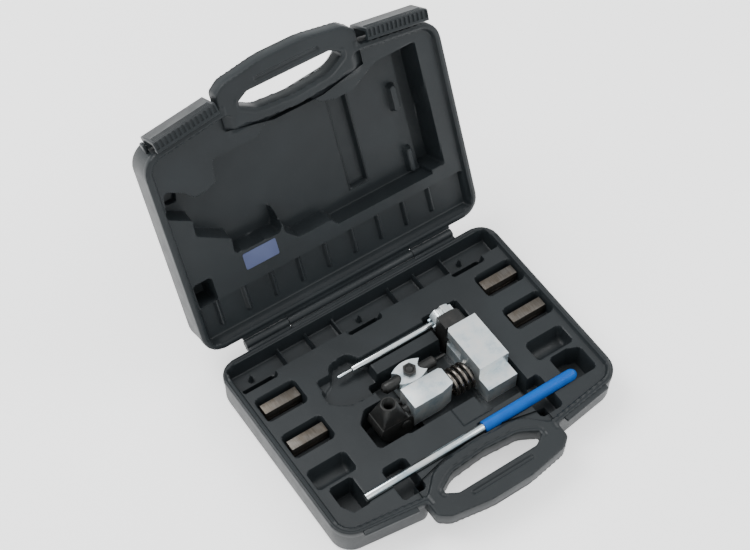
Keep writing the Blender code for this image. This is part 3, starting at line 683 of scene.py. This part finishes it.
def half_shell(rim, z, x, y, edge):
    """The outside of a case half, joined to the field that is its inside."""
    z = z - round_over(edge, 1.6)
    inside = sheet(x, y, z, edge)
    side = walls(BODY, [(0, 9), (0.5, 5.4), (1.7, 3.2), (3.6, 1.9), (6.5, 1.3),
                        (rim - 8.6, 0.9), (rim - 8.0, 0.15), (rim - 7.6, 0), (rim - 1.7, 0),
                        (rim - 1.0, 0.3)])
    handle = walls(HANDLE, [(rim - HANDLE_T + 4, 0.2), (rim - 10, 0), (rim - 1.7, 0),
                            (rim - 1.0, 0.3)], cap_first=False)
    hole = walls(HAND_HOLE, [(rim - HANDLE_T + 4, -0.1), (rim - 10, 0), (rim - 1.7, 0),
                             (rim - 1.0, -0.3)], cap_first=False)
    hole.flip_normals()
    under_edge = np.maximum(distance(HANDLE, x, y), -distance(HAND_HOLE, x, y))
    under = sheet(x, y, rim - HANDLE_T + round_over(under_edge, 4.0), under_edge)
    under.flip_normals()
    return joined(inside, side, handle, hole, under)


def seal_line(z, y, edge, depth):
    """A seal groove round the rim or, with a negative depth, its tongue, but not on the grip."""
    z -= depth * slope((1.6 - np.abs(edge + 4.2)) / 0.8) * (y > -140)


DIES = [f"die_{i}" for i in (1, 2, 3, 4)]


def base_field():
    """The base's inside: the tray, a well for each piece, and the spare compartments."""
    x, y = half_grid()
    z = np.full(x.shape, RIM)
    edge = outline_edge(x, y)
    sink(z, x, y, inner_line(7.2), TRAY, 0.8, 0.7)
    ridge(z, x, y, [(-73, -128), (-64, -119), (-51, -111), (-28, -104), (-4, -101.5), (22, -102.5),
                    (45, -106), (60, -114), (72, -128)], 2.6, 1.6)
    sink(z, x, y, patch((-39, 39), (-154.6, -149.4), 2.4), 41.3, 0.5, 0.6)
    cam_well = rounded([(-87, -54.5, 4), (-22, -54.5), (-22, -8), (-75, -8, 4), (-87, -20, 4)])
    bar_end_well = rounded([
        (-101, 20, 10), (-92, 12, 8), (-82, 6, 12), (-60, 4, 10), (-40, 8, 8), (-38, 40, 14),
        (-52, 63, 10), (-76, 60, 12), (-84, 44, 8), (-101, 36, 8)])
    wells = [
        (cam_well, 2.6),
        (patch((-52, 47), (-56.8, 21)), 12.0),  # ram and punches
        (patch((33, 91), (-80, 20.5)), 12.6),  # die block
        (patch((43.5, 88), (17, 39), 3), 5.6),  # clamp strap
        (patch((42, 87.5), (36.5, 54), 3), 19),  # head of the clamp screw
        (patch((-98, 60), (36.7, 49.7), 3), 30),  # tommy bar
        (bar_end_well, 27),
        (patch((1, 40), (-82, -50), 2), 36.5),  # shallow step in front of the spring
        (patch((-171, 171), (88, 114.3), 3), 24.2)]  # long compartment at the back
    for points, floor in wells:
        sink(z, x, y, points, floor)
    for start in (-169, -34, 105):
        sink(z, x, y, patch((start, start + 42), (80.5, 91.5), 3), 9.2)
    for start in (-108, -72, -37, 37, 72, 108):
        lift(z, x, y, patch((start - 1.8, start + 1.8), (87, 116), 0.5), 32.8, 0.7, 0.5)
    for start in (-150, -10, 126):
        lift(z, x, y, rounded([(start - 2.6, 96.4, 2.4), (start + 2.6, 96.4, 2.4),
                               (start + 2.6, 101.6, 2.4), (start - 2.6, 101.6, 2.4)]), 34.8)
    for name in DIES:
        low, high = span_of(name + "_lower")
        centre = (low + high) / 2
        finger_room = patch((centre.x - 25, centre.x + 24), (centre.y - 18, centre.y + 12.5), 5)
        sink(z, x, y, finger_room, high.z)
        seat = patch((low.x - 0.9, high.x + 0.9), (low.y - 0.9, high.y + 0.9), 1.2)
        sink(z, x, y, seat, low.z - 0.3, 0.3, 0.3)
    for low, high, floor in (((-167, -61), (-120, -36), 30), ((116, -61), (163, -36), 30),
                             ((-101, -119), (-73, -77), 22), ((76, -119), (104, -73), 22)):
        sink(z, x, y, patch((low[0], high[0]), (low[1], high[1]), 5), floor)
    for start in (-163, 120):
        groove(z, x, y, start + 2, start + 37, -48, 30, 9)
    sink(z, x, y, rounded([(-158, -88, 3), (-150, -101, 3), (-131, -101, 3), (-131, -66, 4),
                           (-158, -66, 4)]), 12.2)
    sink(z, x, y, rounded([(127, -101, 4), (163, -101, 4), (163, -72, 4), (150, -66, 4),
                           (127, -66, 4)]), 12.2)
    lever = middle("lever_rod")
    groove(z, x, y, -133.5, 18, lever.y, lever.z, 5.5)
    groove(z, x, y, 16, 141, lever.y, lever.z, 7.2)
    np.minimum(z, RIM, out=z)
    seal_line(z, y, edge, 0.9)
    return x, y, z, edge


def lid_field():
    """The lid's inside, as heights above its outside: what the base's pieces need, and ribs."""
    x, y = half_grid()
    z = np.full(x.shape, LID_RIM)
    edge = outline_edge(x, y)
    sink(z, x, y, inner_line(7.2), LID_TRAY, 0.8, 0.7)
    handle_slope = slope((-102 - y) / 12) * slope((84 - np.abs(x)) / 14)
    z = np.maximum(z, LID_TRAY + (LID_RIM - LID_TRAY) * handle_slope)
    sink(z, x, y, patch((-39, 39), (-154.6, -149.4), 2.4), 41.0, 0.5, 0.6)
    tool_recess = rounded([
        (-126, -57, 4), (-109, -63, 4), (-106, -88, 5), (-52, -88, 6), (-34, -101, 5),
        (17, -101, 4), (27, -92, 4), (44, -87), (66, -87), (101, -106, 8), (134, -106),
        (134, 52.5), (9, 52.5, 4), (2, 43, 4), (-40, 43, 4), (-52, 30, 4), (-55, 4, 5),
        (-64, -2, 5), (-104, -2, 4), (-107, -24, 4), (-126, -30, 4)])
    steps = rounded([
        (-110, -58), (-137, -58, 3), (-146, -68, 3), (-166, -79, 4), (-171, -49, 4),
        (-146, -35, 3), (-148, -16, 4), (-112, 5.5, 3), (-113, 25, 4), (-58, 27, 5), (-54, 18),
        (-54, 2), (-80, -20)])
    corner_pocket = rounded([(-163, -76, 3), (-147, -67, 3), (-150, -51, 3), (-168, -54, 3)])
    sink(z, x, y, tool_recess, 16.2, 1.5, 0.5)
    sink(z, x, y, rounded([(131, -106, 3), (149, -106, 3), (151, 48, 3), (131, 48, 3)]), 7.2)
    sink(z, x, y, patch((44, 65), (-86, 33), 1.5), 10.2, 0.8, 0.4)
    ridge(z, x, y, [(42.6, -86), (42.6, 34.2), (66.4, 34.2), (66.4, -86)], 0.9, 0.9)
    sink(z, x, y, steps, 16.2, 1.5, 0.5)
    sink(z, x, y, corner_pocket, 10.2, 1.2, 0.5)
    sink(z, x, y, patch((-169, -148), (38, 66), 3), 10.2)
    sink(z, x, y, patch((-170, 170), (67, 113), 3), 31.2)
    for i in range(9):
        centre = -149 + 34.4 * i
        lift(z, x, y, patch((centre - 2.5, centre + 2.5), (65, 101), 2.4), 35.4, 1.2, 0.8)
    for low, high in (((114, -63), (124, -30)), ((116, 17), (125, 49))):
        lift(z, x, y, patch((low[0], high[0]), (low[1], high[1]), 4), 23.8)
    np.minimum(z, LID_RIM, out=z)
    seal_line(z, y, edge, -0.5)
    return x, y, z, edge


def knuckle(start, end):
    return turned(eased(5.0, start, end, 0.8), "x", (0, HINGE_Y, HINGE_Z), 32)


def latch_axes(side, height=0.0):
    """Axes in the middle of a latch's stretch of the front edge, with X along that edge."""
    shift = Matrix.Translation((side * LATCH_X, shoulder_y(LATCH_X), height))
    return shift @ Matrix.Rotation(math.atan(SHOULDER) * side, 4, "Z")


def hinge_strip(x, y_end, z, edge):
    """Material between a half's back wall and the hinge."""
    return machined(box(x, (D - 2, y_end), z), edge=edge)


def case_base():
    """The base, with its hinge knuckles and the catches for the latches."""
    x, y, z, edge = base_field()
    shell = half_shell(RIM, z, x, y, edge)
    webs = [hinge_strip(x, HINGE_Y, (35.5, 42.2), 0.8) for x in BASE_KNUCKLES]
    ledge = hinge_strip(LID_KNUCKLE, HINGE_Y - 5.4, (38.5, 42.9), 0.6)
    catches = [moved(machined(box((-31, 31), (-5, 2), (38, 42)), edge=1.0), latch_axes(side))
               for side in (-1, 1)]
    barrels = [knuckle(*x) for x in BASE_KNUCKLES]
    place("case_base_moulding", joined(shell, *webs, ledge, *catches, *barrels), PLASTIC,
          "case_base", "case_base")


def case_lid():
    """The lid, with its knuckle, the latches' lugs and a plain label."""
    x, y, z, edge = lid_field()
    shell = moved(half_shell(LID_RIM, z, x, y, edge), LID_PLACE)
    web = moved(hinge_strip(LID_KNUCKLE, HINGE_Y, (44.2, 51.0), 0.8), OPEN_LID)
    flanges = [moved(hinge_strip(x, HINGE_Y - 5.3, (43.6, 51.0), 0.6), OPEN_LID)
               for x in BASE_KNUCKLES]
    lugs = []
    for side in (-1, 1):
        for end in (-1, 1):
            low, high = sorted((end * (LATCH_L / 2 + 0.6), end * (LATCH_L / 2 + 4.6)))
            lug = machined(box((low, high), (-8.5, 2), (57.5, 66.5)), edge=1.2)
            lugs.append(moved(lug, OPEN_LID @ latch_axes(side)))
    place("case_lid_moulding", joined(shell, web, *flanges, *lugs, knuckle(*LID_KNUCKLE)), PLASTIC,
          "case_lid", "case_lid")
    label = machined(slab(patch((-107, -66), (30, 50), 2), 47.3, 47.75), edge=0.1, segments=1)
    place("lid_label", moved(label, OPEN_LID), LABEL, "case_lid")


def latch(side, name):
    """A C-section clip with a ribbed back, hung just open."""
    section = rounded([(0.9, 58.3), (9.0, 58.3, 2), (11.6, 55.6, 2), (11.6, 33.5, 1.0),
                       (5.0, 33.5, 0.6), (5.0, 37.0, 0.6), (2.3, 36.2, 0.6), (2.3, 29.5, 1.0),
                       (13.2, 29.5, 1.6), (15.0, 31.3, 1.6), (15.0, 63.6, 2.6), (12.2, 66.4, 2.6),
                       (3.0, 66.4, 1.0), (0.9, 64.6, 0.6)], 15)
    body = slab(section, -LATCH_L / 2, LATCH_L / 2, upright=True)
    body.transform(Matrix.Translation((0, LATCH_OUT, -LATCH_Z))
                   @ Matrix.Rotation(math.radians(-90), 4, "Z"))
    slots = [box((start, start + 3.0), (-9.6, -1.4), (-34, -31.2))
             for start in (-LATCH_L / 2 + 1.4 + 5.3 * i for i in range(14))]
    grips = [turned(eased(0.9, -LATCH_L / 2 + 3, LATCH_L / 2 - 3, 0.5), "x",
                    (0, LATCH_OUT - 14.8, height), 10) for height in (-29.5, -26.5, -23.5, -20.5)]
    body = machined(body, slots, grips, edge=0.35, segments=2)
    hang = (latch_axes(side, LATCH_Z) @ Matrix.Translation((0, -LATCH_OUT, 0))
            @ Matrix.Rotation(math.radians(-LATCH_OPEN), 4, "X"))
    place(f"latch_{name}_clip", moved(body, OPEN_LID @ hang), PLASTIC, f"latch_{name}",
          f"latch_{name}")
    pin = turned(eased(1.5, -LATCH_L / 2 - 4.3, LATCH_L / 2 + 4.3, 0.3), "x", (0, 0, 0), 20)
    place(f"latch_{name}_axle", moved(pin, OPEN_LID @ hang), STEEL, "case_lid",
          f"latch_pin_{name}")


# ---------------------------------------------------------------- tool


def die_block():
    """The block that holds a pair of dies, with its lower step and the rod's socket."""
    low, high = span_of("die_block")
    punch = middle("punch_right")
    step_y, step_z = -43.0, 38.0
    outline = [(low.x, step_y), (high.x, step_y), (high.x, high.y), (low.x + 3, high.y),
               (low.x, high.y - 3)]
    tall = slab(outline, low.z, high.z)
    step = box((low.x, high.x), (low.y, step_y + 0.5), (low.z, step_z))
    way = box((40, 100), (punch.y - 12.5, 30), (punch.z - 6.35, punch.z + 6.35))
    holes = [span("y", 4, 25, (x, 19.0), 3.3) for x in (57.5, 75.5)]
    socket = span("x", 40, 70, (ROD_Y, ROD_Z), ROD_BORE)
    grub = span("z", 5, 30, (61, ROD_Y), 3.3)
    place("die_block_machined", machined(tall, [way, socket, grub, *holes], [step], 0.7), ZINC,
          "tool_frame", "die_block")


def clamp():
    """The strap behind the block with its two screws, the clamp screw, its pad and its bar."""
    low, high = span_of("clamp_strap")
    axis = middle("clamp_pad")
    outline = rounded([(low.x, low.z), (high.x, low.z, 2), (high.x, high.z, 17),
                       (low.x, high.z)], 6)
    cuts = [span("y", 10, 50, (axis.x, axis.z), 6.3)]
    for number in (1, 2):
        screw = middle(f"strap_screw_{number}")
        cuts += [span("y", 10, 50, (screw.x, screw.z), 3.3),
                 span("y", high.y - 7, 50, (screw.x, screw.z), 5.6)]
        head = turned([(0, 24), (4.5, 24), (5, 23.5), (5, 18.3), (3, 18.3), (3, 0), (0, 0)], "y",
                      (screw.x, high.y - 25, screw.z), 32)
        key = span("y", high.y - 4, 50, (screw.x, screw.z), 2.6, 6)
        place(f"strap_screw_{number}_cap", machined(head, [key], edge=0.15), BLACK, "tool_frame",
              f"strap_screw_{number}")
    strap = machined(slab(outline, low.y, high.y, upright=True), cuts, edge=0.8)
    place("clamp_strap_forged", strap, BLACK, "tool_frame", "clamp_strap")

    screw_low, screw_high = span_of("clamp_screw")
    bar = middle("tommy_bar")
    face, back = screw_high.y - 11.6, screw_high.y
    notched = []
    for i in range(120):
        a = math.radians(i * 3)
        notch = max(0.0, -math.cos(6 * (a - math.radians(75))) - 0.35) / 0.65
        r = 16.0 - 2.9 * notch ** 1.3
        notched.append((axis.x + r * math.cos(a), axis.z + r * math.sin(a)))
    head = slab(notched, face, back, upright=True)
    adds = [span("y", 16, face + 2, (axis.x, axis.z), 6.0),
            span("y", screw_low.y, 18, (axis.x, axis.z), 2.8)]
    head = machined(head, [span("x", 30, 100, (bar.y, bar.z), 4.6)], adds, 0.7)
    place("clamp_screw_head", head, ZINC, "clamp_screw", "clamp_screw")
    pad = turned([(0, 15.6), (5.3, 15.6), (5.6, 15.3), (5.6, 12.5), (5.3, 12.2), (0, 12.2)], "y",
                 (axis.x, 0, axis.z), 32)
    pad = machined(pad, [span("y", 13.2, 20, (axis.x, axis.z), 3.1)], edge=0)
    place("clamp_pad_button", pad, BLACK, "clamp_screw", "clamp_pad")
    bar_low, bar_high = span_of("tommy_bar")
    profile = [(0, bar_high.x), (3.7, bar_high.x), (4.1, bar_high.x - 0.3), (4.3, bar_high.x - 0.9),
               (4.3, -56.4), (4.1, -56.8), (3.7, -57.2), (2.2, -57.9), (2.1, -58.4), (2.1, -74.4),
               (1.7, -75.1), (0, bar_low.x)]
    place("tommy_bar_turned", turned(profile, "x", (0, bar.y, bar.z), 40), BRIGHT, "tommy_bar",
          "tommy_bar")


def guide_rod():
    """The rod through ram and spring, with the eye, pin and clip that carry the cam."""
    low, high = span_of("guide_rod")
    pin = middle("cam_pin_clip")
    axis_y = (low.y + high.y) / 2
    rod = turned(eased(6.0, pin.x + 5, high.x, 0.4), "x", (0, axis_y, pin.z), 48)
    eye = turned(eased(8.5, low.y, high.y, 0.5), "y", (pin.x, 0, pin.z), 48)
    bore = span("y", low.y - 2, high.y + 2, (pin.x, pin.z), 4.3)
    place("guide_rod_ground", machined(rod, [bore], [eye], 0), BLACK, "tool_frame", "guide_rod")
    place("cam_pin_headed", turned(
        [(0, -9.3), (3.7, -9.3), (4, -9.6), (4, -10.6), (3.3, -10.6), (3.3, -12.2), (4, -12.2),
         (4, -41.5), (5.3, -41.5), (5.6, -41.8), (5.6, -43.1), (5.2, -43.5), (0, -43.5)], "y",
        (pin.x, 0, pin.z), 40), BLACK, "tool_frame", "cam_pin")
    clip_low, clip_high = span_of("cam_pin_clip")
    clip = span("y", clip_low.y, clip_high.y, (pin.x, pin.z), 6.2)
    gap = box((pin.x, pin.x + 9), (clip_low.y - 1, clip_high.y + 1), (pin.z - 2, pin.z + 2))
    bore = span("y", clip_low.y - 1, clip_high.y + 1, (pin.x, pin.z), 3.6)
    place("cam_pin_e_clip", machined(clip, [bore, gap], edge=0.15), BLACK, "tool_frame",
          "cam_pin_clip")


def ram():
    """The sliding block, with the arm under the punch holder."""
    low, high = span_of("ram_block")
    rod = middle("guide_rod")
    screw = middle("holder_screw")
    front, back = low.y, -14
    body = slab([(low.x, front), (high.x - 16, front), (high.x - 1, front + 3.3),
                 (high.x, front + 4.5), (high.x, back - 3), (high.x - 3, back), (low.x, back)],
                low.z, high.z)
    arm = box((-27, 8), (-16, high.y), (low.z + 0.5, 29.7))
    cuts = [span("x", -50, 30, (rod.y, ROD_Z), ROD_BORE),
            span("z", 10, 35, (screw.x, screw.y), 4.35)]
    place("ram_block_machined", machined(body, cuts, [arm], 0.7), ZINC, "ram", "ram_block")


def return_spring():
    """A coil wound round the rod's axis, riding on the tool frame with a mesh of its own."""
    low, high = span_of("return_spring")
    turns, wire, radius = 4.0, 2.1, 14.2
    steps = round(turns * 40)
    path = bpy.data.curves.new("coil", "CURVE")
    path.dimensions = "3D"
    path.bevel_depth = wire * MM
    path.bevel_resolution = 6
    path.use_fill_caps = True
    line = path.splines.new("POLY")
    line.points.add(steps)
    for i, point in enumerate(line.points):
        t = i / steps
        a = 2 * math.pi * turns * t
        x = low.x + wire + (high.x - low.x - 2 * wire) * t
        point.co = (x * MM, (ROD_Y + radius * math.cos(a)) * MM,
                    (ROD_Z + radius * math.sin(a)) * MM, 1)
    curve = bpy.data.objects.new("work", path)
    bpy.context.scene.collection.objects.link(curve)
    graph = bpy.context.evaluated_depsgraph_get()
    mesh = bpy.data.meshes.new_from_object(curve.evaluated_get(graph))
    bpy.data.objects.remove(curve, do_unlink=True)
    mesh.transform(Matrix.Scale(1 / MM, 4))
    coil = place("return_spring_coil", mesh, SPRING, "tool_frame", "return_spring")
    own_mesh(coil)


def punches():
    """The scalloped holder, its hexagon screw, and a punch pointing each way."""
    low, high = span_of("punch_holder")
    centre = (low + high) / 2
    screw = middle("holder_screw")
    punch = middle("punch_right")
    side_arc = [(18 - 36 * i / 24, 8 + 5.5 * (1 - (1 - i / 12) ** 2)) for i in range(25)]
    scallop = [(18 - 6.5 * (1 - (1 - i / 9) ** 2), -8 + 16 * i / 18) for i in range(1, 18)]
    outline = side_arc + [(-x, -y) for x, y in scallop]
    outline += [(-x, -y) for x, y in side_arc] + scallop
    plate = slab([(centre.x + x, centre.y + y) for x, y in outline], low.z, high.z)
    cuts = [span("z", 20, 60, (screw.x, screw.y), 4.35)]
    for start, end, radius in ((6, 30, 4.8), (12, 30, 6.7)):
        cuts += [span("x", centre.x + start, centre.x + end, (punch.y, punch.z), radius),
                 span("x", centre.x - end, centre.x - start, (punch.y, punch.z), radius)]
    place("punch_holder_plate", machined(plate, cuts, edge=0.7), ZINC, "punch_holder",
          "punch_holder")
    screw_low, screw_high = span_of("holder_screw")
    top = screw_high.z
    head = span("z", 45.3, top, (screw.x, screw.y), 8.0, 6)
    shank = span("z", screw_low.z, 46, (screw.x, screw.y), 4.0)
    key = turned([(0, top + 1), (5.2, top + 1), (5.2, top - 0.6), (3.4, top - 2.4), (0, top - 2.4)],
                 "z", (screw.x, screw.y, 0), 32)
    place("holder_screw_cap", machined(head, [key], [shank], edge=0.35), BLACK, "ram",
          "holder_screw")
    right = [(0, 47.5), (1.0, 47.5), (1.5, 47.2), (1.8, 46.5), (1.8, 35.0), (2.2, 34.5),
             (4.6, 33.0), (5.9, 32.2), (6.4, 31.5), (6.4, 12.7), (6.0, 12.3), (4.5, 12.3),
             (4.5, 6.4), (0, 6.4)]
    left = [(0, 35), (3.0, 35), (3.4, 34.7), (6.1, 32.0), (6.4, 31.5), (6.4, 12.7),
            (6.0, 12.3), (4.5, 12.3), (4.5, 6.4), (0, 6.4)]
    place("punch_right_turned", turned(right, "x", (centre.x, punch.y, punch.z)), BLACK,
          "punch_holder", "punch_right")
    other = turned(left, "x", (0, 0, 0))
    other.transform(Matrix.Translation((centre.x, punch.y, punch.z))
                    @ Matrix.Rotation(math.pi, 4, "Z"))
    dimple = span("x", centre.x - 45, centre.x - 29, (punch.y, punch.z), 2.0)
    place("punch_left_turned", machined(other, [dimple], edge=0), BLACK, "punch_holder",
          "punch_left")


def arc(x, z, radius, start, end, steps):
    """Points along an arc, between two angles in degrees."""
    angles = (math.radians(start + (end - start) * i / steps) for i in range(steps + 1))
    return [(x + radius * math.cos(a), z + radius * math.sin(a)) for a in angles]


def cam_lever():
    """The eccentric cam, forked over the rod's eye, and the neck that takes the loose lever."""
    low, high = span_of("cam_lever")
    pivot = middle("cam_pin_clip")
    throw = math.radians(-112.5)
    cx, cz = pivot.x + 13 * math.cos(throw), pivot.z + 13 * math.sin(throw)
    side = arc(cx, cz, 16.2, -138, 8, 36) + arc(pivot.x, pivot.z, 10.2, 10, 62, 12)
    side += [(-41.5, 41.0), (-74.0, 41.0)] + arc(-60, 31, 15.5, 145, 222, 18)
    body = slab(side, low.y, high.y, upright=True)
    neck_x, top, foot = -58.4, high.z, 41.0
    form = bmesh.new()
    for i in range(48):
        a = 2 * math.pi * i / 48
        for r, z in ((8.2, top), (8.8, top - 0.4), (9.0, top - 1)):
            form.verts.new((neck_x + r * math.cos(a), ROD_Y + r * math.sin(a), z))
    for x in (-73.0, -42.0):
        for y in (low.y + 0.5, high.y - 0.5):
            for z in (foot - 2, foot + 1):
                form.verts.new((x, y, z))
    bmesh.ops.convex_hull(form, input=form.verts)
    neck = from_form(form)
    threads = [(0, top + 1), (7.6, top + 1), (6.9, top - 0.6), (5.4, top - 2.2)]
    for i in range(8):
        threads += [(6.0, top - 2.9 - 1.5 * i), (5.4, top - 3.6 - 1.5 * i)]
    socket = turned([*threads, (5.4, 46), (0, 46)], "z", (neck_x, ROD_Y, 0), 40)
    fork = box((pivot.x - 11, pivot.x + 20), (ROD_Y - 6.4, ROD_Y + 6.4), (-5, pivot.z + 11))
    bore = span("y", -60, 0, (pivot.x, pivot.z), 4.3)
    place("cam_lever_forged", machined(body, [socket, fork, bore], [neck], 0.8), BLACK,
          "cam_lever", "cam_lever")


def lever():
    """The loose lever: a plated bar, and a grip with a rounded end."""
    low, high = span_of("lever_rod")
    axis = middle("lever_rod")
    rod = turned(eased(5.0, low.x, high.x, 0.8), "x", (0, axis.y, axis.z), 48)
    place("lever_rod_plated", rod, BRIGHT, "lever", "lever_rod")
    grip_low, grip_high = span_of("lever_grip")
    start, end = grip_low.x, grip_high.x
    profile = [(0, end)]
    for i in range(1, 13):
        a = math.pi / 2 * i / 12
        profile.append((6.7 * math.sin(a), end - 8 * (1 - math.cos(a))))
    profile += [(6.7, start + 1.2), (6.5, start + 0.5), (6.0, start), (0, start)]
    grip = turned(profile, "x", (0, axis.y, axis.z), 48)
    bore = span("x", start - 5, high.x + 0.7, (axis.y, axis.z), 5.15)
    place("lever_grip_dipped", machined(grip, [bore], edge=0), VINYL, "lever", "lever_grip")


def dies():
    """Each pair, bored for its pipe where the halves meet."""
    for name, pipe in zip(DIES, (4.75, 6.0, 8.0, 10.0)):
        lower = span_of(name + "_lower")
        upper = span_of(name + "_upper")
        split = (lower[1].z + upper[0].z) / 2
        for half, (low, high) in (("lower", lower), ("upper", upper)):
            centre = (low + high) / 2
            bore = span("x", low.x - 3, high.x + 3, (centre.y, split), pipe / 2, 40)
            bar = machined(box((low.x, high.x), (low.y, high.y), (low.z, high.z)), [bore],
                           edge=0.5)
            place(f"{name}_{half}_milled", bar, DIE, f"{name}_{half}", f"{name}_{half}")


camera()
studio()
case_base()
case_lid()
latch(-1, "left")
latch(1, "right")
die_block()
clamp()
guide_rod()
ram()
return_spring()
punches()
cam_lever()
lever()
dies()
for node, look in (("hinge_pin", STEEL), ("rod_grub_screw", BLACK)):
    materials = frame["nodes"][node].data.materials
    materials.clear()
    materials.append(look)
